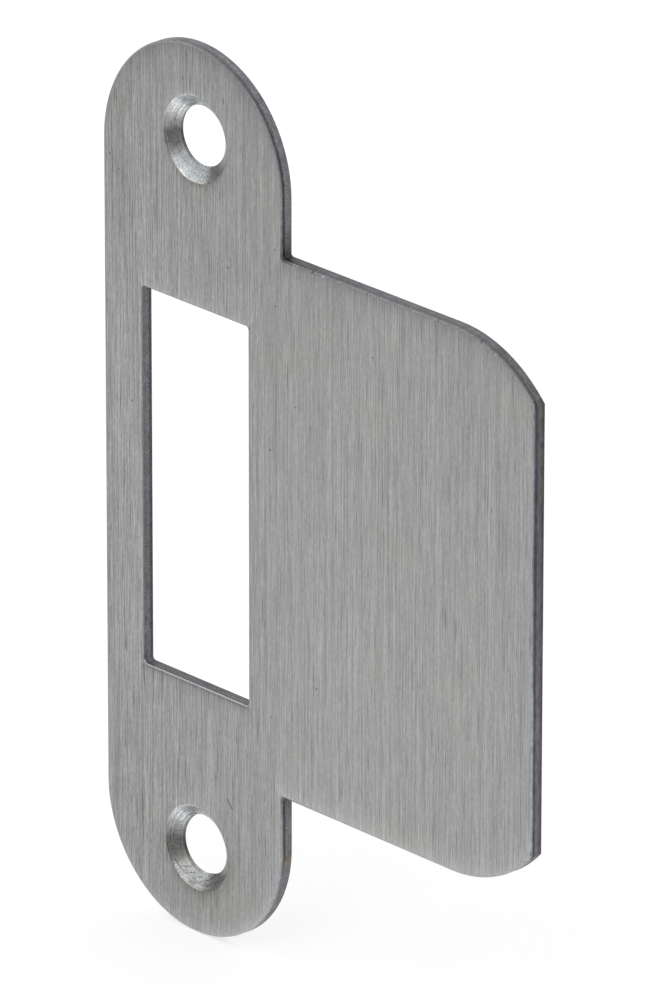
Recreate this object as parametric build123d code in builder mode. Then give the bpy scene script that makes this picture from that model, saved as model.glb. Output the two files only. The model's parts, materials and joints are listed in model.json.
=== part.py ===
from build123d import *
from math import atan, degrees, radians, sin
import os

# Door strike plate: one flat piece blanked from a sheet steel strip.
# Millimetres. +Z runs up the plate and +X along the lip. The back face lies on
# y = 0 and the brushed front face looks toward -Y.
# The origin is midway between the two screw holes, on the back face.

# Sheet
plate_thickness = 1.25

# Upright plate with full round ends
plate_width = 25.6
plate_height = 93.8
plate_shift = -0.45  # centreline of the plate, from the line through the screw holes

# Lip that leads the latch bolt into the opening
lip_reach = 35.0  # how far the lip stands out from the side of the plate
lip_height = 56.7
lip_corner_radius = 15.0
lip_corner_turn = 48.7  # degrees each corner turns before the edge of the strip cuts it
inner_corner_radius = 0.3  # where the lip leaves the side of the plate

# Latch opening
opening_width = 15.2
opening_height = 40.0
opening_corner_radius = 0.4

# Countersunk screw holes
hole_spacing = 75.0
hole_diameter = 6.2
countersink_diameter = 8.9
hole_land = 0.12  # straight wall left behind the countersink

# Edges of the front face
strip_edge_roll = 0.4  # the lip ends on the strip's own rounded edge
blanked_edge_roll = 0.3  # drawn down all round as the blank is punched out
opening_edge_roll = 0.1

# Derived sizes
plate_side = plate_shift + plate_width / 2
lip_end = plate_side + lip_reach
lip_top = lip_height / 2
lip_corner_start = lip_end - lip_corner_radius * sin(radians(lip_corner_turn))
countersink_depth = plate_thickness - hole_land
countersink_flare = (countersink_diameter - hole_diameter) / 2
countersink_angle = 2 * degrees(atan(countersink_flare / countersink_depth))
back_face = Plane.XZ
front_face = back_face.offset(plate_thickness)


def draw_outline():
    """Round-ended plate and lip in one outline, symmetrical about its mid height."""
    with BuildSketch(back_face) as outline:
        with Locations((plate_shift, 0)):
            SlotOverall(plate_height, plate_width, rotation=90)
        with BuildLine():
            top = Line((plate_shift, lip_top), (lip_corner_start, lip_top))
            corner = JernArc(top @ 1, top % 1, lip_corner_radius, -lip_corner_turn)
            Line(corner @ 1, (lip_end, 0))
            Line((plate_shift, 0), top @ 0)
            mirror(about=Plane.XZ)
        make_face()
        for height in (lip_top, -lip_top):
            inner_corner = outline.vertices().sort_by_distance((plate_side, height))[0]
            fillet(inner_corner, inner_corner_radius)
    return outline.sketch


def draw_opening():
    """Upright oblong the latch bolt passes through, centred between the screw holes."""
    with BuildSketch(back_face) as opening:
        RectangleRounded(opening_width, opening_height, opening_corner_radius)
    return opening.sketch


os.makedirs("parts", exist_ok=True)

with BuildPart() as strike_plate:
    # Blank
    extrude(draw_outline(), amount=plate_thickness)
    extrude(draw_opening(), amount=plate_thickness, mode=Mode.SUBTRACT)

    # Rolled edges of the front face
    # The lip ends on the edge of the strip, which is rounder than the blanked edges.
    lip_end_edge = strike_plate.faces().sort_by(Axis.Y)[0].edges().sort_by(Axis.X)[-1]
    fillet(lip_end_edge, strip_edge_roll)
    front = strike_plate.faces().sort_by(Axis.Y)[0]
    fillet(front.outer_wire().edges().sort_by(Axis.X)[:-1], blanked_edge_roll)
    front = strike_plate.faces().sort_by(Axis.Y)[0]
    fillet(front.inner_wires().edges(), opening_edge_roll)

    # Screw holes
    with Locations(front_face):
        with GridLocations(0, hole_spacing, 1, 2):
            CounterSinkHole(
                radius=hole_diameter / 2,
                counter_sink_radius=countersink_diameter / 2,
                counter_sink_angle=countersink_angle,
            )

strike_plate.part.label = "strike_plate"
export_step(strike_plate.part, "parts/strike_plate.step")
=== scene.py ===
# %% [markdown]
# # A brushed steel strike plate
#
# This lesson dresses one piece of door hardware: the plate that a latch bolt
# springs into. The real one is punched from a strip of brushed steel sheet, so it
# is flat, thin and plain. All its character is in the surface: brush lines that
# run up the face, dull torn edges where the punch broke through, one rounder edge
# where the strip itself ended, and two bright countersinks with the marks of the
# cutter still in them.
#
# The measured model comes first. It gives the frame that everything is built in:
# metres, +Z up the plate, +X along the lip, the back on y = 0 and the brushed face
# looking along -Y.

# %% Load the measured plate
import json
import math

import bpy
from mathutils import Matrix, Vector


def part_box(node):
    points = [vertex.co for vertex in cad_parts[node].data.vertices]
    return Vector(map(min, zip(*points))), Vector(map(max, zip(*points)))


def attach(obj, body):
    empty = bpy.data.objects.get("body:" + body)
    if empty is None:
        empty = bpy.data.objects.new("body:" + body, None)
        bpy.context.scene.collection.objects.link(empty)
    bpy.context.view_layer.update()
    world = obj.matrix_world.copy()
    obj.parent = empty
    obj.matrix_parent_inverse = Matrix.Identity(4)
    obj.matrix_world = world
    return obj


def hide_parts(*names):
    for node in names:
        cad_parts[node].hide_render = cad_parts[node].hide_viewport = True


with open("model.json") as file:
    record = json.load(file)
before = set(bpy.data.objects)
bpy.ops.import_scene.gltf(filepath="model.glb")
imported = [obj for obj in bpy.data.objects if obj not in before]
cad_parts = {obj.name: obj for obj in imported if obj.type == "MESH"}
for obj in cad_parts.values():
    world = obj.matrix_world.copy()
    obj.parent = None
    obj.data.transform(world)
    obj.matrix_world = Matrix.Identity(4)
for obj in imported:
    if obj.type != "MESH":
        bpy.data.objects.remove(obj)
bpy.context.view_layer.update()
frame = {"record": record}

MM = 0.001
weld_gap = 1e-6
low, high = (Vector(corner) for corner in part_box("strike_plate"))
mounts = {mount["name"]: mount for mount in frame["record"]["mounts"]}
thickness = high.y - low.y
middle_y = (low.y + high.y) / 2
plate_height = high.z - low.z
lip_end = high.x
front_y = low.y
back_y = high.y
print("sheet", round(thickness / MM, 3), "mm, plate height", round(plate_height / MM, 2), "mm")

# %% [markdown]
# ## Small helpers
#
# Operators in Blender act on whatever is selected, so each helper below starts by
# clearing the selection. Faces and edges are then chosen by where they lie and
# which way they face, as you would pick them by eye.

# %% Helpers for selecting and editing
def deselect_all():
    for other in bpy.context.selected_objects:
        other.select_set(False)


def make_active(piece):
    deselect_all()
    piece.select_set(True)
    bpy.context.view_layer.objects.active = piece


def select_parts(piece, vertices=None, edges=None, faces=None):
    """Leave edit mode open on the piece with only the chosen parts selected."""
    make_active(piece)
    bpy.ops.object.mode_set(mode="EDIT")
    kind = "VERT" if vertices else "EDGE" if edges else "FACE"
    bpy.ops.mesh.select_mode(type=kind)
    bpy.ops.mesh.select_all(action="DESELECT")
    bpy.ops.object.mode_set(mode="OBJECT")
    mesh = piece.data
    if vertices:
        for vertex in mesh.vertices:
            vertex.select = vertices(vertex.co)
    if edges:
        for edge in mesh.edges:
            start, end = (mesh.vertices[i].co for i in edge.vertices)
            edge.select = edges(start, end)
    if faces:
        for face in mesh.polygons:
            face.select = faces(face)
    bpy.ops.object.mode_set(mode="EDIT")


def done_editing():
    bpy.ops.object.mode_set(mode="OBJECT")


def everything(part):
    return True


def weld(piece, gap):
    """Merge points that lie closer than the gap, and leave edit mode open."""
    select_parts(piece, faces=everything)
    bpy.ops.mesh.remove_doubles(threshold=gap)


def bevel_chosen(width, steps, **settings):
    """Bevel the chosen edges, and close edit mode."""
    bpy.ops.mesh.bevel(offset=width, segments=steps, affect="EDGES", **settings)
    done_editing()


def place_in_mesh(piece):
    """Move the piece's own place, turn and size into its mesh."""
    make_active(piece)
    bpy.ops.object.transform_apply(location=True, rotation=True, scale=True)


def apply_boolean(piece, tool, operation):
    """Join or cut with a second mesh, which is then thrown away."""
    cut = piece.modifiers.new("cut", "BOOLEAN")
    cut.operation = operation
    cut.solver = "EXACT"
    cut.object = tool
    make_active(piece)
    bpy.ops.object.modifier_apply(modifier=cut.name)
    bpy.data.objects.remove(tool)


def close_to(a, b, margin=weld_gap):
    return abs(a - b) < margin

# %% [markdown]
# ## The round-ended plate
#
# The upright part is a slot shape: two half circles joined by straight sides. A
# cylinder lying through the sheet is the quickest start. Its lower half is slid
# down the plate, which draws the straight sides out between the halves. The
# cylinder is turned by half a facet first, so that no corner sits on the split.

# %% Model the round-ended plate
plate_width = 25.6 * MM
plate_centre = low.x + plate_width / 2
plate_side = plate_centre + plate_width / 2
end_radius = plate_width / 2
end_centre = plate_height / 2 - end_radius
end_facets = 256

deselect_all()
bpy.ops.mesh.primitive_cylinder_add(
    vertices=end_facets,
    radius=end_radius,
    depth=thickness,
    location=(plate_centre, middle_y, end_centre),
    rotation=(math.radians(90), math.radians(180 / end_facets), 0),
)
plate = bpy.context.object
plate.name = "brushed_plate"
place_in_mesh(plate)
select_parts(plate, vertices=lambda at: at.z < end_centre)
bpy.ops.transform.translate(value=(0, 0, -2 * end_centre))
done_editing()
print("round ends", round(end_radius / MM, 2), "mm, centres", round(2 * end_centre / MM, 2), "mm apart")

# %% [markdown]
# ## The lip
#
# The lip is punched from the same strip, up against the strip's edge. The press
# tool rounds its two far corners with a full quarter circle, but the strip ends
# before the arc does, so the arc stops at a small kink. The same order works here:
# a box longer than the lip gets round corners, and is then sliced off flat where
# the strip ended.

# %% Model the lip
lip_height = 56.7 * MM
lip_corner_radius = 15.0 * MM
lip_corner_turn = math.radians(48.7)
corner_steps = 64
box_end = lip_end + lip_corner_radius * (1 - math.sin(lip_corner_turn))

deselect_all()
bpy.ops.mesh.primitive_cube_add(size=1, location=((plate_centre + box_end) / 2, middle_y, 0))
lip = bpy.context.object
lip.scale = (box_end - plate_centre, thickness, lip_height)
place_in_mesh(lip)
select_parts(lip, edges=lambda a, b: close_to(a.x, box_end) and close_to(b.x, box_end) and close_to(a.z, b.z))
bevel_chosen(lip_corner_radius, corner_steps)
select_parts(lip, faces=everything)
bpy.ops.mesh.bisect(
    plane_co=(lip_end, 0, 0),
    plane_no=(1, 0, 0),
    threshold=weld_gap,
    use_fill=True,
    clear_outer=True,
)
done_editing()
apply_boolean(plate, lip, "UNION")
print("lip stands out", round((lip_end - plate_side) / MM, 2), "mm")

# %% [markdown]
# ## The latch opening
#
# A second punch knocks out the opening. Its corners are only just rounded, because
# a punch with truly sharp corners would chip. The press never lines its strokes up
# perfectly, so the opening sits a hair off its place.

# %% Punch the latch opening
opening_width = 15.2 * MM
opening_height = 40.0 * MM
opening_corner_radius = 0.4 * MM
small_corner_steps = 6
punch_travel = 4 * thickness
opening_place = Vector((-0.09, 0, -0.08)) * MM

deselect_all()
bpy.ops.mesh.primitive_cube_add(size=1, location=opening_place + Vector((0, middle_y, 0)))
punch = bpy.context.object
punch.scale = (opening_width, punch_travel, opening_height)
place_in_mesh(punch)
select_parts(punch, edges=lambda a, b: close_to(a.x, b.x) and close_to(a.z, b.z))
bevel_chosen(opening_corner_radius, small_corner_steps)
apply_boolean(plate, punch, "DIFFERENCE")

# %% [markdown]
# ## Clean up the flat faces
#
# Booleans leave extra lines across flat faces. A limited dissolve takes them away,
# and then the two inner corners, where the lip leaves the plate, get the small
# radius that the press tool has there.

# %% Clean up and round the inner corners
inner_corner_radius = 0.3 * MM
corner_margin = 0.02 * MM
flat_limit = math.radians(0.05)


def at_inner_corner(a, b):
    on_side = close_to(a.x, b.x) and close_to(a.x, plate_side, corner_margin)
    return on_side and close_to(a.z, b.z) and close_to(abs(a.z), lip_height / 2, corner_margin)


weld(plate, weld_gap)
bpy.ops.mesh.dissolve_limited(angle_limit=flat_limit)
done_editing()
select_parts(plate, edges=at_inner_corner)
bevel_chosen(inner_corner_radius, small_corner_steps)
print("plate has", len(plate.data.polygons), "faces before its edges are worked")

# %% [markdown]
# ## The countersink cutter
#
# A countersink is a turned surface, so the cutter for it is made the way a lathe
# would: its outline is drawn as a chain of points beside the axis, and then spun.
# The cone carries fine rings, because the tool is fed down as it turns. At the rim it
# flares softly into the face, where the brushing has worn the corner away. The holes
# are cut now, while the plate is still plain, because booleans like simple meshes.

# %% Shape the countersink cutter
hole_radius = mounts["screw_holes"]["dims"]["hole_r_mm"] * MM
hole_reach = mounts["screw_holes"]["dims"]["spacing_y_mm"] * MM / 2
countersink_radius = 4.48 * MM
hole_land = 0.12 * MM
cone_tip_y = back_y + 0.1 * MM
ring_pitch = 0.21 * MM
ring_depth = 0.003 * MM
rim_flare = 0.06 * MM
flare_steps = 5
flare_lead_in = 6
cutter_lift = 0.6 * MM
cutter_steps = 168
points_per_ring = 4

rim_point = Vector((countersink_radius, front_y))
foot_point = Vector((hole_radius, back_y - hole_land))
cone_line = foot_point - rim_point
tip_point = rim_point + cone_line * (cone_tip_y - front_y) / cone_line.y
out_of_metal = Vector((cone_line.y, -cone_line.x)).normalized()


def ringed_cone():
    """Points (radius, y) from just inside the rim to the tip, cut into rings."""
    start = rim_point + cone_line.normalized() * rim_flare
    line = tip_point - start
    count = round(line.length / ring_pitch) * points_per_ring
    points = []
    for i in range(count + 1):
        swing = (1 - math.cos(math.tau * i / points_per_ring)) / 2
        points.append(start + line * i / count - out_of_metal * ring_depth * swing)
    return points


def soft_rim():
    """Points (radius, y) from outside the rim, along the face, and over into the cone."""
    outer = rim_point + Vector((rim_flare, -weld_gap))
    inner = rim_point + cone_line.normalized() * rim_flare
    points = [rim_point + Vector((flare_lead_in * rim_flare, -rim_flare))]
    for i in range(flare_steps):
        t = i / flare_steps
        points.append(outer * (1 - t) ** 2 + rim_point * 2 * t * (1 - t) + inner * t ** 2)
    return points


def spin_cutter(outline, axis_place, steps):
    """Chain the outline's points beside the cutter's axis, and spin the chain to a solid."""
    first = outline[0]
    deselect_all()
    bpy.ops.mesh.primitive_plane_add(size=MM, location=axis_place + Vector((first.x, first.y, 0)))
    cutter = bpy.context.object
    place_in_mesh(cutter)
    bpy.ops.object.mode_set(mode="EDIT")
    bpy.ops.mesh.select_mode(type="VERT")
    bpy.ops.mesh.select_all(action="SELECT")
    bpy.ops.mesh.merge(type="CENTER")
    for start, end in zip(outline, outline[1:]):
        step = end - start
        bpy.ops.mesh.extrude_region_move(TRANSFORM_OT_translate={"value": (step.x, step.y, 0)})
    bpy.ops.mesh.select_all(action="SELECT")
    bpy.ops.mesh.spin(steps=steps, angle=math.tau, center=axis_place, axis=(0, 1, 0))
    bpy.ops.mesh.select_all(action="SELECT")
    bpy.ops.mesh.remove_doubles(threshold=weld_gap)
    bpy.ops.mesh.normals_make_consistent(inside=False)
    done_editing()
    return cutter


above = front_y - cutter_lift
rim_points = soft_rim()
cone_points = ringed_cone()
cone_outline = [Vector((0, above)), Vector((rim_points[0].x, above)), *rim_points, *cone_points]
cone_outline.append(Vector((0, cone_points[-1].y)))
print("cone of", len(cone_points), "points,", round(cone_line.length / MM, 2), "mm down its slope")

# %% [markdown]
# ## Drill and countersink both holes
#
# The clearance hole is drilled first, as a plain cylinder, and the countersink
# follows it. The cutter wandered a little each time, so each cone sits slightly below
# and to the left of its hole, and the thin land under it isn't the same all round.

# %% Cut the two holes
upper_hole = Vector((0.09 * MM, 0, hole_reach - 0.12 * MM))
lower_hole = Vector((0.23 * MM, 0, 0.01 * MM - hole_reach))
upper_cone_axis = Vector((0.05 * MM, 0, hole_reach - 0.22 * MM))
lower_cone_axis = Vector((-0.11 * MM, 0, -0.23 * MM - hole_reach))


def cut_hole(hole_place, cone_place):
    deselect_all()
    bpy.ops.mesh.primitive_cylinder_add(
        vertices=cutter_steps,
        radius=hole_radius,
        depth=punch_travel,
        location=hole_place,
        rotation=(math.radians(90), 0, 0),
    )
    drill = bpy.context.object
    place_in_mesh(drill)
    apply_boolean(plate, drill, "DIFFERENCE")
    apply_boolean(plate, spin_cutter(cone_outline, cone_place, cutter_steps), "DIFFERENCE")
    print("hole at z =", round(hole_place.z / MM, 1), "mm cut, plate has", len(plate.data.polygons), "faces")


def in_hole(at):
    """True on the cones and the lands, and just outside them."""
    reach = 1.2 * countersink_radius
    return any(math.hypot(at.x - hole.x, at.z - hole.z) < reach for hole in (upper_hole, lower_hole))


cut_hole(upper_hole, upper_cone_axis)
cut_hole(lower_hole, lower_cone_axis)

# %% [markdown]
# ## Points along the rim
#
# Punched edges are never quite straight, so the rim needs points that can move later
# on. Each long edge of the rim is halved again and again, until its steps are as
# short as the facets of the round ends. The front and back edge of a wall are halved
# together, so the wall between them becomes a tidy ladder. For that they need the
# same points to start with, which two slices through the whole plate see to.

# %% Divide the straight runs of the rim
rim_step = 0.35 * MM
sharp_turn = math.radians(30)
halving_passes = 8


def select_sharp_edges(piece, wanted):
    """Keep only those sharp edges selected that the test also wants."""
    select_parts(piece, edges=lambda a, b: False)
    bpy.ops.mesh.edges_select_sharp(sharpness=sharp_turn)
    bpy.ops.object.mode_set(mode="OBJECT")
    mesh = piece.data
    count = 0
    for edge in mesh.edges:
        start, end = (mesh.vertices[i].co for i in edge.vertices)
        edge.select = edge.select and wanted(start, end)
        count += edge.select
    bpy.ops.object.mode_set(mode="EDIT")
    return count


def long_and_level(a, b):
    return close_to(a.y, b.y) and (a - b).length > rim_step and not in_hole(a)


for slice_normal in ((1, 0, 0), (0, 0, 1)):
    select_parts(plate, faces=everything)
    bpy.ops.mesh.bisect(plane_co=(plate_centre, 0, 0), plane_no=slice_normal, threshold=weld_gap)
    done_editing()

for halving in range(halving_passes):
    if select_sharp_edges(plate, long_and_level):
        bpy.ops.mesh.subdivide(number_cuts=1)
    done_editing()
print("rim divided into steps of", rim_step / MM, "mm or less")

# %% [markdown]
# ## The strip's own edge
#
# The far end of the lip isn't sheared at all: it is the edge of the strip that the
# blank was punched from, and strip is sold with its edge rounded over. A bevel along
# that one front edge makes the quarter round.

# %% Round the strip edge at the lip's end
strip_edge_roll = 0.4 * MM
strip_roll_steps = 8


def at_lip_end(a, b):
    return close_to(a.x, lip_end) and close_to(b.x, lip_end)


def on_front(a, b):
    return close_to(a.y, front_y) and close_to(b.y, front_y)


def near_front(a, b):
    return max(a.y, b.y) < front_y + strip_edge_roll + weld_gap


select_parts(plate, edges=lambda a, b: at_lip_end(a, b) and on_front(a, b))
bevel_chosen(strip_edge_roll, strip_roll_steps)
print("strip edge rolled by", round(strip_edge_roll / MM, 2), "mm")

# %% [markdown]
# ## The roll at the blanked edges
#
# Where a punch enters the sheet it first drags the skin down with it, which leaves a
# soft roll on the brushed side, about a quarter of the sheet deep. The back keeps its
# square edge. The small opening was punched with less play, so its roll is finer.
# The bevel goes on all edges near the front that are still sharp. It skips the strip
# edge made above, but follows its rounded profile at both ends, as the punch did.
# Points that a bevel pushed out of the front face are pressed back onto it.

# %% Roll the blanked front edges
blanked_edge_roll = 0.3 * MM
blanked_roll_steps = 6
opening_edge_roll = 0.1 * MM
opening_roll_steps = 3


def at_opening(at):
    """True on the opening's edge, and just outside it."""
    off = at - opening_place
    return abs(off.x) < opening_width / 2 + weld_gap and abs(off.z) < opening_height / 2 + weld_gap


select_sharp_edges(plate, lambda a, b: near_front(a, b) and not at_opening(a) and not in_hole(a))
bevel_chosen(blanked_edge_roll, blanked_roll_steps, loop_slide=False)
select_sharp_edges(plate, lambda a, b: near_front(a, b) and at_opening(a) and at_opening(b))
bevel_chosen(opening_edge_roll, opening_roll_steps, loop_slide=False)
select_parts(plate, vertices=lambda at: at.y < front_y + weld_gap)
bpy.ops.transform.resize(value=(1, 0, 1), center_override=(0, front_y, 0))
done_editing()
weld(plate, weld_gap)
done_editing()
print("front edges rolled by", round(blanked_edge_roll / MM, 2), "mm,", len(plate.data.polygons), "faces")

# %% [markdown]
# ## Rows across the sheared walls
#
# Below the roll a sheared wall has a smooth burnished band, and then the torn band
# where the metal broke. Rows of faces across the wall give the torn band something to
# be rough with.

# %% Divide the walls from front to back
wall_rows = 6


def runs_through_sheet(a, b):
    aside = math.hypot(a.x - b.x, a.z - b.z)
    return aside < rim_step and abs(a.y - b.y) > thickness / 2


select_parts(plate, edges=runs_through_sheet)
bpy.ops.mesh.subdivide(number_cuts=wall_rows - 1)
done_editing()
print("walls divided, plate has", len(plate.data.polygons), "faces")

# %% [markdown]
# ## Torn and uneven edges
#
# Now the rim can be roughened. A displace modifier pushes the points of the walls
# inwards by a few hundredths of a millimetre, following a cloudy noise. A vertex
# group keeps it off the flat faces: the weight is full in the torn half of a wall,
# slight in the burnished band and the roll, and nothing on the front and the back.

# %% Roughen the walls
tear_depth = 0.035 * MM
tear_grain = 0.35 * MM
burnish_share = 0.35
roll_weight = 0.3
burnish_weight = 0.15


def wall_weight(at):
    """How strongly the tearing acts on a point, from its depth in the sheet."""
    depth = (at.y - front_y) / thickness
    if close_to(at.y, front_y) or close_to(at.y, back_y) or in_hole(at):
        return 0
    if at.x > lip_end - strip_edge_roll - weld_gap:
        return 0
    if at.y < front_y + (opening_edge_roll if at_opening(at) else blanked_edge_roll) + weld_gap:
        return roll_weight
    return burnish_weight if depth < burnish_share else 1


walls = plate.vertex_groups.new(name="torn_walls")
for vertex in plate.data.vertices:
    walls.add([vertex.index], wall_weight(vertex.co), "REPLACE")

tearing = bpy.data.textures.new("tearing", "CLOUDS")
tearing.noise_scale = tear_grain
tearing.noise_depth = 3
tear = plate.modifiers.new("tear", "DISPLACE")
tear.texture = tearing
tear.texture_coords = "LOCAL"
tear.vertex_group = walls.name
tear.mid_level = 1
tear.strength = tear_depth
make_active(plate)
bpy.ops.object.modifier_apply(modifier=tear.name)
print("walls torn by up to", round(tear_depth / MM, 3), "mm")

# %% [markdown]
# ## Smooth shading
#
# Small gaps are welded first. Then faces that meet at a shallow angle are shaded as
# one surface, while real corners stay crisp. Weighted normals keep the large flat
# faces flat right up to their rolled edges.

# %% Weld and shade the plate
shade_angle = math.radians(28)

weld(plate, 2 * weld_gap)
bpy.ops.mesh.dissolve_degenerate(threshold=weld_gap)
bpy.ops.mesh.delete_loose()
bpy.ops.mesh.select_all(action="SELECT")
bpy.ops.mesh.normals_make_consistent(inside=False)
done_editing()
make_active(plate)
bpy.ops.object.shade_smooth_by_angle(angle=shade_angle)
even_shading = plate.modifiers.new("even_shading", "WEIGHTED_NORMAL")
even_shading.keep_sharp = True
bpy.ops.object.modifier_apply(modifier=even_shading.name)
print("plate finished with", len(plate.data.vertices), "points and", len(plate.data.polygons), "faces")

# %% [markdown]
# ## Small steps for building materials
#
# Each finish below is a small graph of nodes, and most of its nodes do sums. So what
# comes out of a node is wrapped as a Value. Python's own signs can then add, subtract
# and multiply it, each sign adds one math node, and a finish reads as a short recipe.
# Every pattern starts from Object coordinates, which are the same metres as the mesh.

# %% Helpers for materials
PER_MM = 1000


class Value:
    """What comes out of a node. A sum with it adds a math node to the same tree."""

    def __init__(self, socket):
        self.socket = socket

    def new_node(self, kind):
        return self.socket.id_data.nodes.new("ShaderNode" + kind)

    def __add__(self, other):
        return compute("ADD", self, other)

    def __sub__(self, other):
        return compute("SUBTRACT", self, other)

    def __rsub__(self, other):
        return compute("SUBTRACT", other, self)

    def __mul__(self, other):
        return compute("MULTIPLY", self, other)

    def __truediv__(self, other):
        return compute("DIVIDE", self, other)

    def __abs__(self):
        return compute("ABSOLUTE", self)

    def times_plus(self, gain, start):
        return compute("MULTIPLY_ADD", self, gain, start)

    def at_least(self, other):
        return compute("MAXIMUM", self, other)

    def at_most(self, other):
        return compute("MINIMUM", self, other)


def feed(socket, value):
    """Plug a value into a socket, or set the socket to a plain number or colour."""
    if isinstance(value, Value):
        socket.id_data.links.new(value.socket, socket)
    else:
        socket.default_value = value


def compute(operation, *values, clamp=False):
    """Add a math node to the tree of the first of the values that comes out of a node."""
    node = next(value for value in values if isinstance(value, Value)).new_node("Math")
    node.operation = operation
    node.use_clamp = clamp
    for socket, value in zip(node.inputs, values):
        feed(socket, value)
    return Value(node.outputs[0])


def new_material(name):
    material = bpy.data.materials.new(name)
    material.use_nodes = True
    material.node_tree.nodes.clear()
    return material


def ramp_between(value, start, end):
    """0 below start, 1 above end, and a soft slope between them."""
    node = value.new_node("MapRange")
    node.interpolation_type = "SMOOTHSTEP"
    feed(node.inputs["Value"], value)
    feed(node.inputs["From Min"], start)
    feed(node.inputs["From Max"], end)
    return Value(node.outputs["Result"])


def split(vector):
    node = vector.new_node("SeparateXYZ")
    feed(node.inputs[0], vector)
    return [Value(output) for output in node.outputs]


def join(x, y, z):
    node = x.new_node("CombineXYZ")
    for socket, value in zip(node.inputs, (x, y, z)):
        feed(socket, value)
    return Value(node.outputs[0])


def noise(place, cells_per_mm, detail=2.0, shift=0.0, rough=0.5):
    """Cloudy noise, 0 to 1, with its own number of cells per millimetre along x, y, z."""
    stretch = place.new_node("Mapping")
    stretch.inputs["Scale"].default_value = [cells * PER_MM for cells in cells_per_mm]
    stretch.inputs["Location"].default_value = (shift, shift, shift)
    feed(stretch.inputs["Vector"], place)
    cloud = place.new_node("TexNoise")
    cloud.inputs["Scale"].default_value = 1
    cloud.inputs["Detail"].default_value = detail
    cloud.inputs["Roughness"].default_value = rough
    feed(cloud.inputs["Vector"], Value(stretch.outputs[0]))
    return Value(cloud.outputs[0])


def even_noise(place, cells_per_mm, **settings):
    return noise(place, (cells_per_mm,) * 3, **settings)


def around_one(value, gain):
    """Turn a noise into a factor that wavers about 1."""
    return value.times_plus(gain, 1 - gain / 2)


def scaled_colour(colour, strength):
    node = strength.new_node("VectorMath")
    node.operation = "SCALE"
    feed(node.inputs[0], colour)
    feed(node.inputs["Scale"], strength)
    return Value(node.outputs[0])


def blend_colours(amount, first, second):
    node = amount.new_node("Mix")
    node.data_type = "RGBA"
    for index, value in ((0, amount), (6, first), (7, second)):
        feed(node.inputs[index], value)
    return Value(node.outputs[2])


def make_steel(name, recipe, *settings):
    """The recipe makes colour, roughness and relief, and the relief's height, for each place."""
    material = new_material(name)
    place = Value(material.node_tree.nodes.new("ShaderNodeTexCoord").outputs["Object"])
    colour, roughness, relief, relief_height = recipe(place, *settings)
    shader = place.new_node("BsdfPrincipled")
    shader.inputs["Metallic"].default_value = 1
    feed(shader.inputs["Base Color"], colour)
    feed(shader.inputs["Roughness"], roughness)
    bump = place.new_node("Bump")
    bump.inputs["Distance"].default_value = relief_height
    feed(bump.inputs["Height"], relief)
    feed(shader.inputs["Normal"], Value(bump.outputs[0]))
    output = place.new_node("OutputMaterial")
    feed(output.inputs["Surface"], Value(shader.outputs[0]))
    return material

# %% [markdown]
# ## Painted light where the face leans at its edges
#
# Punching bends the skin down for a millimetre or two around every cut. The bend is
# too slight to see as a shape, and it isn't modelled: its light and dark are painted
# into the steel's colour, as painted shade where the skin leans up towards the dark top
# of the room and a painted reflection of the pale floor where it leans down. So each
# cut gets a lean, which says how far the way out of the metal points up there, and
# which fades with the distance to the cut. Round the lower screw hole the painted
# shade reaches further out and darkens the skin all round the rim.

# %% Painted light from the lean of the skin around each cut
painted_lean_share = 0.28
painted_floor_share = 0.22
left_painted_shade = 0.18
outline_fade = 1.05 * MM
opening_fade = 0.7 * MM
upper_rim_fade = 0.45 * MM
lower_rim_fade = 0.9 * MM
lower_rim_gain = 1.3
lower_rim_lean = (0.75, 0.2)
lip_blend = 0.7 * MM
top_arc = (31 * MM, 35 * MM)
top_arc_lean = 0.35
foot_arc = (-29 * MM, -32 * MM)
foot_arc_lean = -0.2
right_turn = (-0.2, 0.8)
lip_root = (11 * MM, 15 * MM)
lip_painted_floor_share = 0.6


def length_of(across, up):
    return compute("SQRT", across * across + up * up)


def lean_towards(across, up):
    """Lean for a way out of the metal, given as a direction. Skin turned left gets more painted shade too."""
    return up + across.times_plus(-left_painted_shade, left_painted_shade)


def faded(lean, distance, fade):
    return lean * compute("EXPONENT", distance.at_least(0.0) * (-1 / fade))


def outline_way(x, z):
    """The way out of the metal at the outline, as across and up, and how far inside the place is."""
    across = x - plate_centre
    straight = z.at_least(-end_centre).at_most(end_centre)
    past = z - straight
    reach = length_of(across, past)
    inside = end_radius - reach

    corner_x = lip_end - lip_corner_radius * math.sin(lip_corner_turn)
    corner_z = lip_height / 2 - lip_corner_radius
    past_x = (x - corner_x).at_least(0.0)
    past_z = (abs(z) - corner_z).at_least(0.0)
    lip_reach = length_of(past_x, past_z)
    in_lip = (lip_corner_radius - lip_reach).at_most(across)
    upward = past_z / lip_reach * compute("SIGN", z)

    on_lip = ramp_between(in_lip - inside, -lip_blend, lip_blend)
    ways = []
    for on_plate, at_lip in ((across / reach, past_x / lip_reach), (past / reach, upward)):
        ways.append((at_lip - on_plate).times_plus(on_lip, on_plate))
    return *ways, inside.at_least(in_lip)


def opening_lean(x, z):
    across = x - opening_place.x
    up = z - opening_place.z
    beside = abs(across) - opening_width / 2
    beyond = abs(up) - opening_height / 2
    end_on = compute("GREATER_THAN", beyond, beside)
    side_on = 1.0 - end_on
    out_x = compute("SIGN", across) * (side_on * -1.0)
    out_z = compute("SIGN", up) * (end_on * -1.0)
    return lean_towards(out_x, out_z), beside.at_least(beyond)


def rim_lean(x, z, axis_place):
    across = axis_place.x - x
    up = axis_place.z - z
    reach = length_of(across, up)
    lean = lean_towards(across / reach, up / reach)
    return lean, reach - countersink_radius


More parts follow.
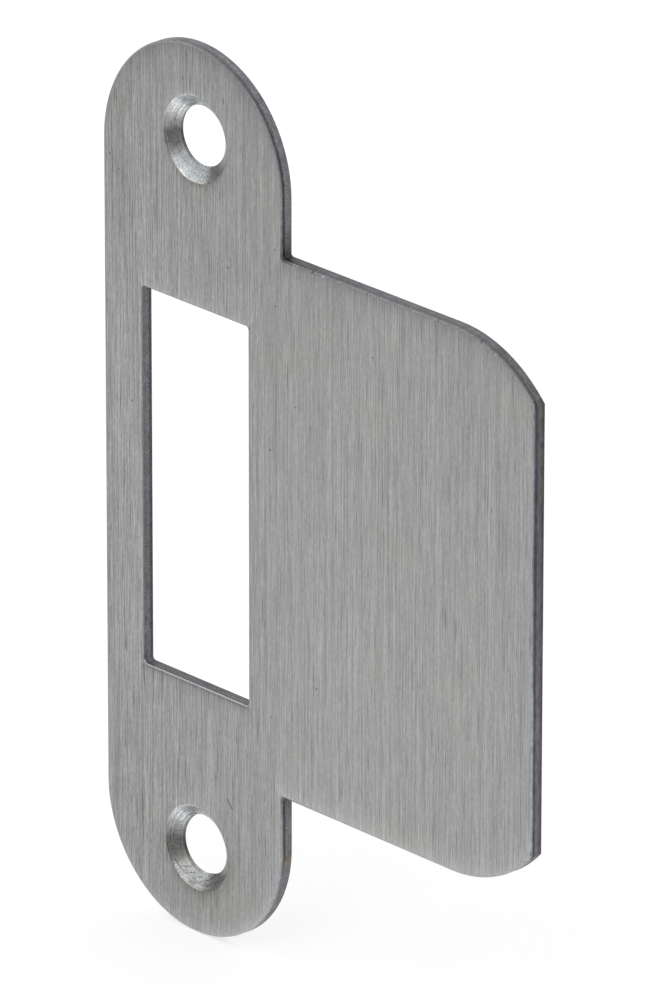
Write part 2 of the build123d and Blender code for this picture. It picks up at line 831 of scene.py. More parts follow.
def painted_lean_light(place):
    """Painted light and shade as a factor on the steel's tone from all the leans, with a painted reflection
    of the floor where the skin leans down; then the outline's own lean and its way across.
    """
    x, y, z = split(place)
    across, up, inside = outline_way(x, z)
    lean = lean_towards(across, up)
    ends = ramp_between(z, *top_arc) * top_arc_lean
    ends = ramp_between(z, *foot_arc).times_plus(foot_arc_lean, ends)
    turned_right = ramp_between(across, *right_turn)
    at_outline = faded(turned_right.times_plus(ends, lean), inside, outline_fade)
    total = at_outline + faded(*opening_lean(x, z), opening_fade)
    upper_rim = faded(*rim_lean(x, z, upper_cone_axis), upper_rim_fade)
    lower_lean, beyond_rim = rim_lean(x, z, lower_cone_axis)
    lower_rim = faded(lower_lean.times_plus(*lower_rim_lean), beyond_rim, lower_rim_fade)
    total += lower_rim.times_plus(lower_rim_gain, upper_rim)
    light = total.times_plus(-painted_lean_share, 1.0)
    # painted reflection of the pale floor where the outline's skin leans down, weaker on the lip
    painted_floor_light = ramp_between(x, *lip_root).times_plus(lip_painted_floor_share * painted_floor_share, -painted_floor_share)
    painted_floor_reflection = at_outline.at_most(0.0) * painted_floor_light
    return light + painted_floor_reflection, lean, across

# %% [markdown]
# ## The brushed face
#
# The strip was brushed with an abrasive belt that ran up the plate. Its lines are
# about a tenth of a millimetre wide and anything from half a millimetre to several
# centimetres long, so three noises of one width are stretched along z by different
# amounts. A fourth adds fewer, deeper scratches, which are always dark. Small pits,
# one slanted nick and a few faint scuffs are placed one by one, as is the thin dark line
# below the opening. Handling has left stains too weak to see except as a warm tint.

# %% Brushed steel
steel_tone = 0.334
# the brush lines' cells per millimetre along x, y and z, and how strong they are
long_hairs, long_strength = (9, 1, 0.045), 1.0
middle_hairs, middle_strength = (9, 1, 0.3), 0.95
short_hairs, short_strength = (7, 1, 1.8), 0.6
deep_scratches, scratch_strength = (5.5, 1, 0.22), 0.42
scratch_limits = (0.38, 0.22)
contrast_zone = (-9 * MM, 13 * MM)
left_contrast, contrast_drop = 1.14, 0.3
mark_gain = 1.5
brush_relief = 0.004 * MM
# painted shade and light over the face: darker ends, the top most, and a lighter lip, its lower half most
painted_end_shade = 30
painted_top_shade = 0.75
painted_lip_light = 0.025
painted_lip_foot_light = 1.3
lip_starts = (8 * MM, 16 * MM)
stain_cells, stain_strength, stain_start = (0.12, 1, 0.16), 0.5, -0.22
gloss, gloss_relief = 0.34, 0.12
stain_colour = (1.05 * steel_tone, 1.03 * steel_tone, 0.9 * steel_tone, 1)

# each mark: x, z, half width, half height in millimetres, and how dark it is
face_marks = (
    (10.6, 8.0, 0.14, 0.16, 0.72),
    (11.4, 23.2, 0.12, 0.16, 0.72),
    (-1.7, 43.1, 0.16, 0.3, 0.4),
    (41.5, 11.0, 0.12, 0.4, 0.35),
    (-9.2, 7.4, 0.14, 0.16, 0.64),
    (17.2, -15.1, 0.14, 0.16, 0.72),
    (10.7, -20.2, 0.12, 0.2, 0.56),
    (43.8, 26.3, 0.12, 0.14, 0.64),
    (4.7, 25.3, 0.14, 0.14, 0.8),
    (3.2, 25.3, 0.1, 0.12, 0.64),
    (11.3, 29.0, 0.12, 0.16, 0.72),
    (14.2, 13.5, 0.12, 0.14, 0.64),
    (25.0, 21.8, 0.12, 0.14, 0.72),
    (24.3, 28.1, 0.16, 0.12, 0.35),
    (-10.9, 31.2, 0.12, 0.14, 0.6),
    (-12.2, 32.5, 0.12, 0.14, 0.6),
    (4.9, 26.2, 0.12, 0.12, 0.5),
    (-1.9, -33.2, 0.3, 0.3, -0.12),
    (46.9, -0.8, 0.2, 1.9, 0.25),
)
# each stain, in the same way: how warm it is
face_stains = (
    (1.2, -42.0, 5.5, 3.4, 0.25),
    (4.5, -39.5, 3.2, 3.2, 0.2),
    (-5.0, -36.5, 1.6, 3.0, 0.15),
    (9.5, 36.0, 2.2, 6.0, 0.12),
    (18.0, 22.0, 8.0, 5.0, 0.1),
    (0.5, 32.2, 2.6, 1.2, 0.2),
)
# each line: start x, z and end x, z, half width in millimetres, and how dark it is
face_lines = (
    (4.35, -31.0, 5.1, -31.85, 0.14, 0.65),
    (4.3, -30.6, 4.6, -31.1, 0.06, 0.3),
    (-7.3, -20.32, 7.1, -20.32, 0.3, 0.17),
    (-11.2, 40.6, -8.6, 41.2, 0.07, -0.14),
    (-10.4, 39.2, -7.9, 39.5, 0.06, -0.1),
    (-9.6, -37.4, -8.2, -39.3, 0.06, -0.12),
    (-8.9, -36.8, -7.2, -39.1, 0.06, 0.12),
    (3.2, -32.6, 3.8, -34.2, 0.09, 0.35),
    (3.8, -34.4, 3.9, -35.7, 0.09, 0.3),
    (2.6, 43.5, 2.6, 43.1, 0.12, 0.45),
    (4.1, 42.5, 4.1, 42.0, 0.12, 0.5),
    (3.5, 32.7, 3.5, 32.2, 0.12, 0.4),
    (9.8, -28.4, 9.8, -29.5, 0.1, 0.35),
    (-6.9, -31.9, -6.9, -32.9, 0.14, 0.25),
    (2.6, -28.9, 2.6, -29.5, 0.1, 0.35),
    (1.2, -40.2, 2.4, -43.3, 0.08, 0.12),
)


def brush_lines(place):
    """A factor about 1 that carries all the brush lines, and the lines alone."""
    long = noise(place, long_hairs, detail=2)
    middle = noise(place, middle_hairs, detail=2, shift=3)
    short = noise(place, short_hairs, detail=2, shift=7)
    scratches = noise(place, deep_scratches, detail=1, shift=11)
    tone = around_one(long, long_strength) * around_one(middle, middle_strength)
    tone *= around_one(short, short_strength)
    deep = ramp_between(scratches, *scratch_limits)
    tone *= deep.times_plus(-scratch_strength, 1.0)
    to_lip = ramp_between(split(place)[0], *contrast_zone)
    contrast = to_lip.times_plus(-contrast_drop, left_contrast)
    return (tone - 1.0).times_plus(contrast, 1.0), middle - deep


def marks_on_face(x, z, marks):
    """0 on clean steel, up to each mark's own darkness inside a mark."""
    total = 0.0
    for mark_x, mark_z, half_width, half_height, darkness in marks:
        across = x.times_plus(1 / (half_width * MM), -mark_x / half_width)
        along = z.times_plus(1 / (half_height * MM), -mark_z / half_height)
        inside = compute("SUBTRACT", 1.0, length_of(across, along), clamp=True)
        total = inside.times_plus(mark_gain * darkness, total)
    return total


def lines_drawn(x, z, lines):
    """0 away from every line, up to each line's own darkness on it."""
    total = 0.0
    for start_x, start_z, end_x, end_z, half_width, darkness in lines:
        run = Vector((end_x - start_x, end_z - start_z))
        way = run.normalized()
        from_x = x - start_x * MM
        from_z = z - start_z * MM
        along = from_x.times_plus(way.x, from_z * way.y)
        along = along.at_least(0.0).at_most(run.length * MM)
        off_x = along.times_plus(-way.x, from_x)
        off_z = along.times_plus(-way.y, from_z)
        on_line = ramp_between(length_of(off_x, off_z), half_width * MM, 0.0)
        total = on_line.times_plus(darkness, total)
    return total


def painted_face_shade(x, z):
    """Painted shade and light over the face: darker towards both ends, most at the top, and lighter on the
    lip, most on its lower half.
    """
    shaded_ends = (z * z).times_plus(-painted_end_shade, 1.0)
    shaded_ends = z.times_plus(-painted_top_shade, shaded_ends)
    on_lip = ramp_between(x, *lip_starts)
    lip_light = z.at_most(0.0).times_plus(-painted_lip_foot_light, painted_lip_light)
    return lip_light.times_plus(on_lip, shaded_ends)


def brushed(place):
    lines, relief = brush_lines(place)
    x, y, z = split(place)
    marks = lines_drawn(x, z, face_lines) + marks_on_face(x, z, face_marks)
    # painted light and shade: darker ends and a lighter lip, and the painted lean of the skin round every cut
    tone = lines * (painted_face_shade(x, z) * painted_lean_light(place)[0]) * (1.0 - marks)
    clouds = noise(place, stain_cells, detail=3, shift=21)
    stain = clouds.times_plus(stain_strength, stain_start) + marks_on_face(x, z, face_stains)
    warm = blend_colours(stain, (steel_tone, steel_tone, steel_tone, 1), stain_colour)
    return scaled_colour(warm, tone), relief.times_plus(gloss_relief, gloss), relief - marks, brush_relief


front_steel = make_steel("front_steel", brushed)
print("brushed steel with", len(face_marks), "small marks")

# %% [markdown]
# ## The plain back
#
# Nobody sees the back once the plate is let into the door frame, so it keeps the
# mill's own finish: even, a little milky, with faint rolling lines.

# %% Mill finish for the back
mill_tint = (0.31, 0.31, 0.315)
mill_grain = (2.2, 1, 1.6)
rolling_lines = (1.1, 1, 0.05)
mill_strength = 0.16
mill_relief = 0.002 * MM


def milled(place):
    grain = noise(place, mill_grain, detail=4)
    rolling = noise(place, rolling_lines, detail=2, shift=5)
    tone = around_one(grain, mill_strength) * around_one(rolling, mill_strength)
    return scaled_colour(mill_tint, tone), grain.times_plus(mill_strength, gloss), grain, mill_relief


back_steel = make_steel("back_steel", milled)

# %% [markdown]
# ## Sheared walls and rolled edges
#
# The broken metal of a sheared wall is dark, dull and slightly purple, with the grain
# of the tear in it, browner round the lip's corners and rusty in one spot by the lower
# neck. Painted light makes walls that look up a little lighter and walls that look down
# much lighter, and painted shade darkens the lip's walls and the corners where the lip
# meets the plate. Round the outline a ragged dark line runs under the roll, where the
# tear ended, deepened by painted shade, and it fades away where the wall looks down. In
# the opening, which was punched from the other side, the dark line lies near the back.
# The roll itself fades from that line to the face, in painted shade.

# %% Sheared steel
wall_tone = 0.21
purple = (1.02, 0.985, 1.09, 1)
plain_grey = (1.0, 1.0, 1.0, 1)
brown, brown_zone = (1.045, 1.0, 0.98, 1), (39 * MM, 43 * MM)
rust, rust_zone = (0.98, 0.82, 0.66, 1), (1.0 * MM, 0.2 * MM)
rust_place = Vector((12.35, 0, -34.9)) * MM
inner_corner_z = lip_height / 2
near_reach, near_shade = 1.3 * MM, 0.5
wide_reach, wide_shade = 8 * MM, 0.22
# bands in the depth of the sheet: middle and half width
burnish_band = (0.5, 0.16)
wall_line = (0.21, 0.14)
opening_line = (0.84, 0.2)
wall_sway, opening_sway, roll_sway = 0.32, 0.22, 0.14
wall_gloss, wall_relief = 0.6, 0.02 * MM
lip_wall_zone, lip_wall_shade = (13 * MM, 15 * MM), 0.18


def band(depth, middle, half_width):
    """1 in the middle of a band of depths, 0 outside it."""
    return ramp_between(abs(depth - middle), half_width, 0.2 * half_width)


def ragged_depth(place, sway):
    """0 at the brushed face and 1 at the back, pushed to and fro a little along the wall."""
    patches = even_noise(place, 1.1, detail=5, shift=2, rough=0.72)
    return split(place)[1].times_plus(1 / thickness, 1.0) + patches.times_plus(sway, -sway / 2)


def painted_corner_shade(x, z):
    """Painted shade: 1 in the open, and darker towards the inner corners where the lip leaves the plate."""
    reach = length_of(x - plate_side, abs(z) - inner_corner_z)
    near = compute("EXPONENT", reach * (-1 / near_reach))
    wide = compute("EXPONENT", reach * (-1 / wide_reach))
    upper = compute("GREATER_THAN", z, 0.0)
    return (wide * upper).times_plus(-wide_shade, near.times_plus(-near_shade, 1.0))


def wall_colour(place, x, z):
    """Purple in patches, brown round the lip's corners, and one spot of rust."""
    patches = even_noise(place, 0.45, detail=3, shift=8, rough=0.6)
    tint = blend_colours(ramp_between(patches, 0.32, 0.55), plain_grey, purple)
    tint = blend_colours(ramp_between(x, *brown_zone), tint, brown)
    off_rust = length_of(x - rust_place.x, z - rust_place.z)
    return blend_colours(ramp_between(off_rust, *rust_zone), tint, rust)


def torn_grain(place):
    """A factor about 1 with the speckle and the blotches of torn metal, and the grain alone."""
    grain = even_noise(place, 6, detail=4, rough=0.75)
    patches = even_noise(place, 0.8, detail=4, shift=5, rough=0.7)
    return around_one(grain, 2.7) * around_one(patches, 1.1), grain


def fades_down(up_side, down_side):
    """The smaller of two shares, but never less than nothing."""
    return up_side.at_most(down_side).at_least(0.0)


def sheared(place):
    x, y, z = split(place)
    lean = painted_lean_light(place)[1]
    tone, grain = torn_grain(place)

    depth = lean.times_plus(-0.1, ragged_depth(place, wall_sway))
    # the dark line is part tear and part painted shade: its darkness follows the lean, strongest where the
    # wall looks sideways
    darkness = fades_down(lean.times_plus(-0.36, 0.62), lean.times_plus(1.3, 0.62))
    beads = ramp_between(even_noise(place, 2.6, detail=3, shift=12), 0.35, 0.6)
    darkness *= beads.times_plus(0.7, 0.6)
    tone *= 1.0 - band(depth, *wall_line) * darkness
    tone *= band(depth, *burnish_band).times_plus(0.1, 1.0)

    # painted light on walls that look up, more on walls that look down, and painted shade on the lip's walls
    # and in the inner corners
    painted_light_from_above = ramp_between(lean, 0.8, 1.15).times_plus(0.08, 1.0)
    painted_light_from_floor = ramp_between(lean, -0.6, -0.8).times_plus(0.5, painted_light_from_above)
    at_lip = ramp_between(x, *lip_wall_zone).times_plus(-lip_wall_shade, 1.0)
    tone = tone * (painted_light_from_floor * at_lip * painted_corner_shade(x, z)) * wall_tone
    return scaled_colour(wall_colour(place, x, z), tone), wall_gloss, grain, wall_relief


def sheared_in_opening(place, tone_share, line_darkness):
    x, y, z = split(place)
    tone, grain = torn_grain(place)
    depth = ragged_depth(place, opening_sway)
    tone *= band(depth, *opening_line).times_plus(-line_darkness, 1.0)
    tone *= band(depth, *burnish_band).times_plus(0.14, 1.0)
    tone *= tone_share
    return scaled_colour(wall_colour(place, x, z), tone), wall_gloss, grain, wall_relief


# each chip on the lip's upper roll: x, z, half width, half height in millimetres, and how dark it is; a
# negative darkness paints a glint, a painted highlight on the chip
roll_chips = (
    (14.0, 28.2, 0.16, 0.25, -0.9),
    (14.4, 28.15, 0.13, 0.2, -0.7),
    (16.6, 28.2, 0.24, 0.24, 0.5),
    (18.1, 28.1, 0.28, 0.24, -0.6),
    (20.1, 28.15, 0.13, 0.2, -0.4),
    (21.0, 28.1, 0.13, 0.2, -0.35),
    (24.2, 28.15, 0.14, 0.2, 0.5),
    (30.6, 28.15, 0.12, 0.2, -0.3),
    (34.0, 28.15, 0.14, 0.2, 0.5),
    (39.9, 27.75, 0.16, 0.2, 0.4),
    (41.9, 27.0, 0.16, 0.16, -0.6),
    (3.2, 46.4, 0.2, 0.2, -0.3),
    (4.2, 46.2, 0.16, 0.2, -0.3),
)


roll_tint = (0.99 * steel_tone, steel_tone, 1.03 * steel_tone)
roll_gloss, roll_relief = 0.4, 0.008 * MM


def rolled(place):
    """Painted shade from the face's painted tone at the top of the roll down to its darkest share at the
    foot, deepest where the roll looks to the right and less where it looks up, down or left.
    """
    x, y, z = split(place)
    light, lean, across = painted_lean_light(place)
    depth = ragged_depth(place, roll_sway) * (thickness / blanked_edge_roll)
    deepest = fades_down((lean * lean).times_plus(-0.4, 0.8), lean.times_plus(1.1, 0.8))
    deepest *= ramp_between(across, -0.6, 0.1)
    tone = light * (1.0 - ramp_between(depth, -0.05, 0.72) * deepest)
    tone = tone * (1.0 - marks_on_face(x, z, roll_chips)) * painted_corner_shade(x, z)
    grain = even_noise(place, 4, detail=4, rough=0.65)
    return scaled_colour(roll_tint, around_one(grain, 1.2) * tone), roll_gloss, grain, roll_relief


def plain(place, tint):
    grain = even_noise(place, 3, detail=4, rough=0.6)
    return scaled_colour(tint, around_one(grain, 0.6)), roll_gloss, grain, roll_relief


sheared_wall = make_steel("sheared_wall", sheared)
# The opening's foot, which looks up, is a copy of its walls painted a little darker, as painted shade, and
# without their dark line.
opening_wall = make_steel("opening_wall", sheared_in_opening, 0.172, 0.45)
opening_foot = make_steel("opening_foot", sheared_in_opening, 0.158, 0.0)
outline_roll = make_steel("outline_roll", rolled)
opening_roll = make_steel("opening_roll", plain, (0.21, 0.21, 0.215))
# A painted highlight: the roll at the foot of the opening, which looks up, is painted light grey, while the
# rest of the opening's roll stays dark.
painted_highlight_roll = make_steel("painted_highlight_roll", plain, (0.4, 0.4, 0.4))
hole_land_steel = make_steel("hole_land", plain, (0.09, 0.09, 0.09))

# %% [markdown]
# ## The strip edge
#
# The rounded edge of the strip keeps the colours of the coil it came from, slightly
# blue and brownish grey, and its turn is painted in light and dark: a light shoulder,
# a painted reflection, then a dark blue band of painted shade round the turn, then the
# brownish grey end, dark grey at the back corner. Painted shade makes the whole edge
# darker towards the top.

# %% Strip edge steel
shoulder = (0.34, 0.375, 0.395, 1)
turn_blue = (0.079, 0.088, 0.103, 1)
end_grey = (0.15, 0.143, 0.147, 1)
corner_grey = (0.09, 0.086, 0.09, 1)
strip_gloss, strip_relief = 0.5, 0.012 * MM


def coil_edge(place):
    x, y, z = split(place)
    depth = y.times_plus(1 / strip_edge_roll, -front_y / strip_edge_roll)
    grain = noise(place, (2.5, 2.5, 1.2), detail=4, rough=0.6)
    streaks = noise(place, (3, 3, 0.25), detail=2, shift=4)
    depth += streaks.times_plus(0.24, -0.12)
    wandering = ramp_between(z, -9 * MM, 0.0).times_plus(0.14, depth)
    shades = blend_colours(ramp_between(wandering, 0.1, 0.55), shoulder, turn_blue)
    shades = blend_colours(ramp_between(depth, 0.65, 1.1), shades, end_grey)
    shades = blend_colours(ramp_between(depth, 1.6, 2.8), shades, corner_grey)
    # painted shade: the edge darkens towards the top, over its own grain
    light = ramp_between(z, -8 * MM, 10 * MM).times_plus(-0.2, 1.07) * around_one(grain, 1.5)
    return scaled_colour(shades, light), strip_gloss, grain, strip_relief


strip_edge = make_steel("strip_edge", coil_edge)

# %% [markdown]
# ## The turned cones
#
# A freshly cut cone catches the light in fans, and here that light is painted into its
# colour: the tone is a ramp of the angle round the cone, with a narrow painted highlight
# at the upper left and a wide one at the foot, dull metal between them and painted shade
# on the right. Rings of the cutter cross the fans, the painted highlight at the foot grows
# brighter towards the rim, and a line of painted shade darkens the inner edge on the left.
# The upper cone is speckled at its foot. In the lower one the cutter chattered, which
# left short slanted cuts there.
# These few cuts and rings are drawn one by one, on the cone laid out flat, and a noise
# makes them waver.

# %% Turned steel
# the angle in degrees, anticlockwise from the right, and the tone there, whose highs are painted highlights
# and whose lows are painted shade
upper_painted_fans = (
    (62, 0.22), (80, 0.35), (95, 0.6), (107, 0.54), (120, 0.44), (131, 0.62), (139, 0.7), (148, 0.61),
    (158, 0.44), (172, 0.28), (184, 0.14), (198, 0.145), (212, 0.2), (228, 0.335), (246, 0.56), (259, 0.41),
    (272, 0.28), (286, 0.235), (296, 0.165), (310, 0.155), (330, 0.15),
)
lower_painted_fans = (
    (62, 0.36), (80, 0.38), (95, 0.62), (108, 0.57), (122, 0.55), (134, 0.7), (146, 0.65), (156, 0.46),
    (172, 0.27), (184, 0.142), (200, 0.135), (212, 0.18), (228, 0.325), (246, 0.46), (262, 0.36),
    (277, 0.245), (286, 0.175), (297, 0.135), (330, 0.145),
)
# each cut: start angle and distance from the axis, end angle and distance, half width, and how dark
upper_cuts = (
    (124, 3.69, 238, 3.7, 0.09, 0.3),
    (127, 3.6, 150, 3.6, 0.08, -0.4),
    (131, 3.51, 145, 3.51, 0.06, -0.25),
    (118, 3.42, 150, 3.42, 0.07, 0.12),
    (168, 3.93, 208, 3.88, 0.09, 0.16),
    (172, 4.08, 200, 4.05, 0.09, 0.2),
    (180, 4.22, 199, 4.17, 0.1, 0.22),
    (160, 3.5, 205, 3.48, 0.09, 0.14),
    (112, 4.25, 124, 3.85, 0.2, 0.22),
    (131, 4.25, 137, 3.95, 0.25, -0.14),
    (66, 3.9, 88, 3.35, 0.12, 0.22),
    (78, 4.05, 104, 3.55, 0.12, 0.18),
    (92, 3.75, 112, 3.3, 0.1, 0.22),
    (228, 4.41, 282, 4.41, 0.09, -0.3),
    (236, 3.5, 290, 3.5, 0.1, 0.1),
    (309, 4.08, 312, 4.02, 0.14, 0.3),
)
lower_cuts = (
    (110, 4.12, 206, 4.08, 0.1, 0.32),
    (116, 3.81, 182, 3.84, 0.1, 0.3),
    (108, 3.42, 205, 3.4, 0.1, 0.26),
    (150, 3.6, 200, 3.62, 0.09, 0.2),
    (124, 4.3, 152, 4.3, 0.1, -0.12),
    (122, 3.97, 152, 3.96, 0.1, -0.16),
    (132, 3.62, 150, 3.6, 0.12, -0.14),
    (178, 4.3, 204, 4.26, 0.09, 0.25),
    (209, 4.27, 211, 4.26, 0.14, -0.3),
    (209.6, 4.27, 210.4, 4.27, 0.1, 0.6),
    (215, 4.13, 237, 3.98, 0.08, 0.54),
    (228, 3.9, 238, 3.3, 0.09, 0.47),
    (240, 3.98, 251, 3.45, 0.09, 0.74),
    (253, 3.92, 266, 3.42, 0.09, 0.74),
    (266, 3.95, 280, 3.5, 0.09, 0.61),
    (278, 3.66, 290, 3.38, 0.1, 0.8),
    (244, 4.14, 292, 4.1, 0.08, 0.47),
    (252, 4.29, 286, 4.28, 0.08, 0.41),
    (260, 4.02, 294, 3.97, 0.08, 0.41),
    (264, 4.22, 280, 4.2, 0.1, -0.2),
    (291, 4.2, 304, 3.6, 0.1, -0.3),
    (299, 4.08, 303, 3.95, 0.12, 0.47),
    (297, 3.9, 312, 3.3, 0.09, -0.25),
)
cone_middle = 3.8
waver = 0.3 * MM
ring_relief = 0.006 * MM
foot_sector = (254, 34)
speckled_sectors = ((75, 30), (308, 30))
rim_zone = (4.2 * MM, 4.36 * MM)
cream = (1.01, 1, 0.97, 1)


def sector(angle, middle, half_width):
    """1 in the middle of a sector of the cone, 0 well outside it. Angles in degrees."""
    away = compute("COSINE", angle - math.radians(middle))
    outside = math.cos(math.radians(1.5 * half_width))
    inside = math.cos(math.radians(0.4 * half_width))
    return ramp_between(away, outside, inside)


def tone_ramp(turn, stops):
    """A tone for each share of a full turn, through the given stops."""
    node = turn.new_node("ValToRGB")
    node.color_ramp.interpolation = "EASE"
    feed(node.inputs[0], turn)
    elements = node.color_ramp.elements
    while len(elements) < len(stops):
        elements.new(0.5)
    for element, (degrees, tone) in zip(elements, stops):
        element.position = degrees / 360
        element.color = (tone, tone, tone, 1)
    return Value(node.outputs["Color"])


def laid_flat(cuts):
    """The cuts as lines on the unrolled cone: along its middle ring, and out from the axis."""
    lines = []
    for start_angle, start_reach, end_angle, *rest in cuts:
        start_along, end_along = (math.radians(angle) * cone_middle for angle in (start_angle, end_angle))
        lines.append((start_along, start_reach, end_along, *rest))
    return lines


def turned(place, axis_place, fans, cuts, roughened, rim_gain, tints):
    """The fans are painted highlights and shade round the cone. Tints are (middle, half width, colour)
    sectors, painted one over the other.
    """
    x, y, z = split(place)
    aside = x - axis_place.x
    up = z - axis_place.z
    reach = length_of(aside, up)
    # measured from the right-hand side, where nothing shows the jump from a full turn to none
    angle = compute("ARCTAN2", up * -1.0, aside * -1.0) + math.pi
    soft = even_noise(place, 0.9, detail=3)
    waved = angle + soft.times_plus(0.3, -0.15)
    tone = tone_ramp(waved * (1 / math.tau), fans)

    polar = join(reach, angle * MM, 0.0)
    rings = noise(polar, (5.5, 0.9, 1), detail=3, rough=0.65)
    ring_zone = sector(angle, 165, 45).times_plus(0.6, 0.4)
    tone *= ((rings - 0.5) * ring_zone).times_plus(1.1 * roughened, 1.0)
    scuffs = noise(polar, (1.5, 9, 1), detail=2, shift=4)
    tone *= around_one(scuffs, 0.4)

    grain = even_noise(place, 7, detail=3, shift=6, rough=0.75)
    foot = sector(angle, *foot_sector)
    speckle_zone = foot.times_plus(0.25, 0.85)
    for speckled in speckled_sectors:
        speckle_zone = sector(angle, *speckled).times_plus(0.9, speckle_zone)
    tone *= ((grain - 0.5) * speckle_zone).times_plus(1.3 * roughened, 1.0)
    # painted highlight: the foot's fan brightens towards the rim and dims towards the hole
    outwards = ramp_between(reach, 3.1 * MM, 4.6 * MM) - 0.6
    tone *= (outwards * foot).times_plus(rim_gain, 1.0)

    along = even_noise(place, 1.6, detail=2, shift=13).times_plus(waver, angle * (cone_middle * MM))
    out = even_noise(place, 1.6, detail=2, shift=17).times_plus(waver, reach)
    broken = ramp_between(even_noise(place, 2.4, detail=2, shift=19), 0.3, 0.5)
    drawn = lines_drawn(along - waver / 2, out - waver / 2, laid_flat(cuts)) * broken
    tone *= drawn.times_plus(-1.0, 1.0)
    # painted shade: a dark line round the left of the cone's inner edge
    inner = ramp_between(reach, 3.26 * MM, 3.14 * MM) * sector(angle, 175, 70)
    tone *= inner.times_plus(-0.45, 1.0)

    tint = plain_grey
    for middle, half_width, colour in tints:
        tint = blend_colours(sector(waved, middle, half_width), tint, colour)
    tint = blend_colours(ramp_between(reach, *rim_zone) * foot, tint, cream)
    return scaled_colour(tint, tone), gloss, rings + grain * 0.4, ring_relief


upper_tints = (
    (85, 16, (0.955, 1, 1.015, 1)),
    (126, 12, (0.89, 1, 1.035, 1)),
    (142, 10, (0.97, 1, 0.995, 1)),
    (228, 10, (0.98, 0.995, 1.05, 1)),
    (258, 21, (0.945, 1, 1.04, 1)),
)
lower_tints = (
    (105, 34, (0.995, 1, 1.025, 1)),
    (142, 13, (0.955, 1, 1.01, 1)),
    (205, 16, (1, 1, 0.955, 1)),
    (268, 18, (0.98, 1, 0.995, 1)),
)
upper_look = (upper_painted_fans, upper_cuts, 1.6, 0.4, upper_tints)
lower_look = (lower_painted_fans, lower_cuts, 1.8, 0.05, lower_tints)
upper_cone = make_steel("upper_cone", turned, upper_cone_axis, *upper_look)
lower_cone = make_steel("lower_cone", turned, lower_cone_axis, *lower_look)
print("cones with", len(upper_cuts), "and", len(lower_cuts), "cuts and rings")

# %% [markdown]
# ## Dress the faces
#
# Every face gets its finish from where it lies and which way it looks. One mesh can
# hold all the finishes, as slots, because the real plate is one piece of steel.

# %% Assign the finishes
finishes = [
    front_steel, back_steel, sheared_wall, opening_wall, opening_foot, outline_roll, opening_roll,
    painted_highlight_roll, strip_edge, upper_cone, lower_cone, hole_land_steel,
]
for finish in finishes:
    plate.data.materials.append(finish)

flat_enough = 0.995
along_axis = 0.1
cone_zone = countersink_radius + (flare_lead_in + 1) * rim_flare
opening_reach = Vector((opening_width, 0, opening_height)) / 2 + Vector((2, 0, 2)) * opening_edge_roll


def choose_finish(face):
    at, facing = face.center, face.normal
    if facing.y < -flat_enough:
        return front_steel
    if facing.y > flat_enough:
        return back_steel
    if math.hypot(at.x, abs(at.z) - hole_reach) < cone_zone:
        if abs(facing.y) < along_axis:
            return hole_land_steel
        return upper_cone if at.z > 0 else lower_cone
    if at.x > lip_end - strip_edge_roll - weld_gap:
        return strip_edge
    off = at - opening_place
    if abs(off.x) < opening_reach.x and abs(off.z) < opening_reach.z:
        if at.y > front_y + opening_edge_roll:
            return opening_foot if facing.z > flat_enough / 2 else opening_wall
        return painted_highlight_roll if off.z < 0 and facing.z > along_axis else opening_roll
    return outline_roll if at.y < front_y + blanked_edge_roll else sheared_wall


for face in plate.data.polygons:
    face.material_index = finishes.index(choose_finish(face))
for index, finish in enumerate(finishes):
    count = sum(face.material_index == index for face in plate.data.polygons)
    print(finish.name, "on", count, "faces")

# %% [markdown]
# ## Put the plate in the frame
#
# The plate stands for the measured solid, which stays behind for collision, and rides
# on the only body there is.

# %% Tie the plate to the measured model
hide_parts("strike_plate")
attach(plate, "root")

# %% [markdown]
# ## Floor, sky and lamps
#
# Polished metal is mostly a picture of what surrounds it, so the surroundings are
# kept plain: white all round for what the eye and the metal see, and soft light at a
# plain level. The floor looks white too, but keeps the shadow of the plate.

# %% Build the studio
floor_size = 6.0
deselect_all()
bpy.ops.mesh.primitive_plane_add(size=floor_size, location=(0, 0, low.z))
floor = bpy.context.object
floor.name = "floor"


def seen_directly(tree):
    """1 for rays from the camera, or by way of a mirror or glass, and else 0."""
    path = tree.nodes.new("ShaderNodeLightPath").outputs
    straight = Value(path["Is Camera Ray"]) + Value(path["Is Glossy Ray"])
    return compute("ADD", straight, Value(path["Is Transmission Ray"]), clamp=True)


floor_paint = new_material("pale_floor")
tree = floor_paint.node_tree
kinds = ("BsdfDiffuse", "BsdfDiffuse", "Emission", "AddShader", "MixShader", "OutputMaterial")
matte, shadowed, glow, both, choice, output = (tree.nodes.new("ShaderNode" + kind) for kind in kinds)
matte.inputs["Color"].default_value = (0.8, 0.8, 0.8, 1)
shadowed.inputs["Color"].default_value = (0.5, 0.5, 0.5, 1)
glow.inputs["Strength"].default_value = 0.64
feed(choice.inputs[0], seen_directly(tree))
tree.links.new(shadowed.outputs[0], both.inputs[0])
tree.links.new(glow.outputs[0], both.inputs[1])
tree.links.new(matte.outputs[0], choice.inputs[1])
tree.links.new(both.outputs[0], choice.inputs[2])
tree.links.new(choice.outputs[0], output.inputs["Surface"])
floor.data.materials.append(floor_paint)

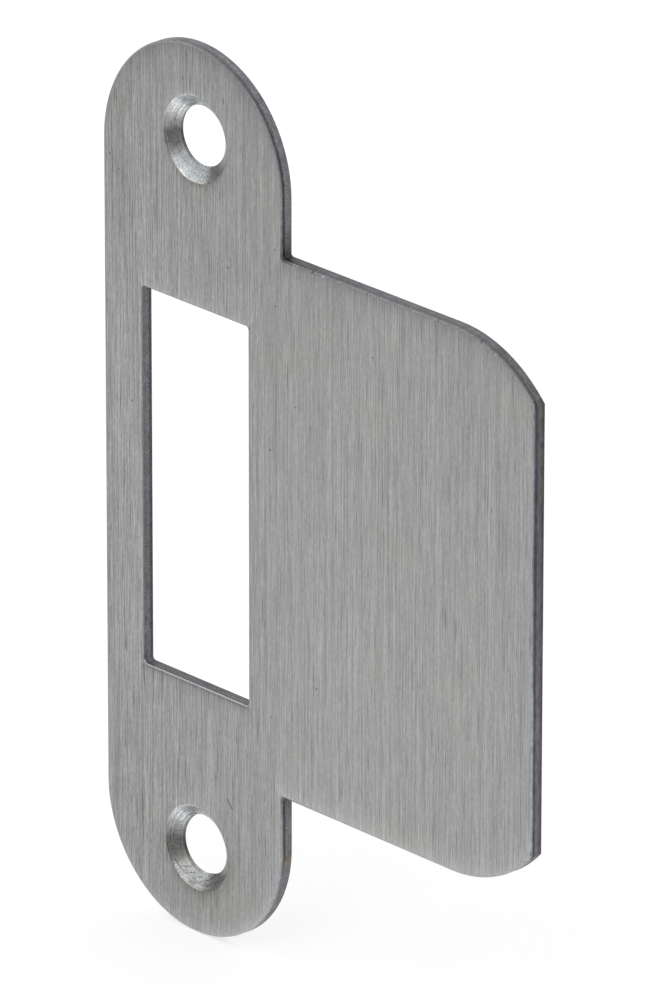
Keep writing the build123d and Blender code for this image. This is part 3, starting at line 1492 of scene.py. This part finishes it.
sky = bpy.data.worlds.new("studio")
sky.use_nodes = True
background = sky.node_tree.nodes["Background"]
sky_light = 0.75
seen_sky = seen_directly(sky.node_tree).times_plus(1 - sky_light, sky_light)
feed(background.inputs["Strength"], seen_sky)
background.inputs["Color"].default_value = (1, 1, 1, 1)
bpy.context.scene.world = sky


def add_softbox(name, place, size, watts):
    """A square lamp that looks at the middle of the plate."""
    lamp = bpy.data.lights.new(name, "AREA")
    lamp.shape = "SQUARE"
    lamp.size = size
    lamp.energy = watts
    holder = bpy.data.objects.new(name, lamp)
    holder.location = place
    holder.rotation_euler = (-Vector(place)).to_track_quat("-Z", "Y").to_euler()
    bpy.context.collection.objects.link(holder)
    print(name, "at", place, "m,", watts, "W")


add_softbox("front_softbox", (0.35, -0.95, 0.65), 0.5, 1.0)
add_softbox("left_softbox", (-0.9, -0.5, 0.6), 0.5, 1.0)

# %% [markdown]
# ## Camera
#
# The photograph was taken from the right, a little above, and from far away with a
# long lens, so that the plate's edges stay almost parallel. The angles and the
# distance come from fitting the plate's outline to it.

# %% Set up the camera
view_turn = math.radians(46.68)
view_tilt = math.radians(22.361)
view_roll = math.radians(0.06)
view_distance = 1154.6 * MM
aim_point = Vector((9.163, 8.581, -0.429)) * MM
photo_height_px = 1000
sensor_height = 36.0
focal_px = 11803

towards_camera = Vector((
    math.sin(view_turn) * math.cos(view_tilt),
    -math.cos(view_turn) * math.cos(view_tilt),
    math.sin(view_tilt),
))
camera_data = bpy.data.cameras.new("camera")
camera_data.sensor_fit = "VERTICAL"
camera_data.sensor_height = sensor_height
camera_data.lens = focal_px * sensor_height / photo_height_px
camera_data.clip_end = 100
camera = bpy.data.objects.new("camera", camera_data)
upright = towards_camera.to_track_quat("Z", "Y").to_matrix()
camera.rotation_euler = (Matrix.Rotation(view_roll, 3, towards_camera) @ upright).to_euler()
camera.location = aim_point + towards_camera * view_distance
bpy.context.collection.objects.link(camera)
bpy.context.scene.camera = camera
print("camera", round(view_distance, 2), "m away with a", round(camera_data.lens), "mm lens")

# %% Set the view transform
bpy.context.scene.view_settings.view_transform = "Standard"
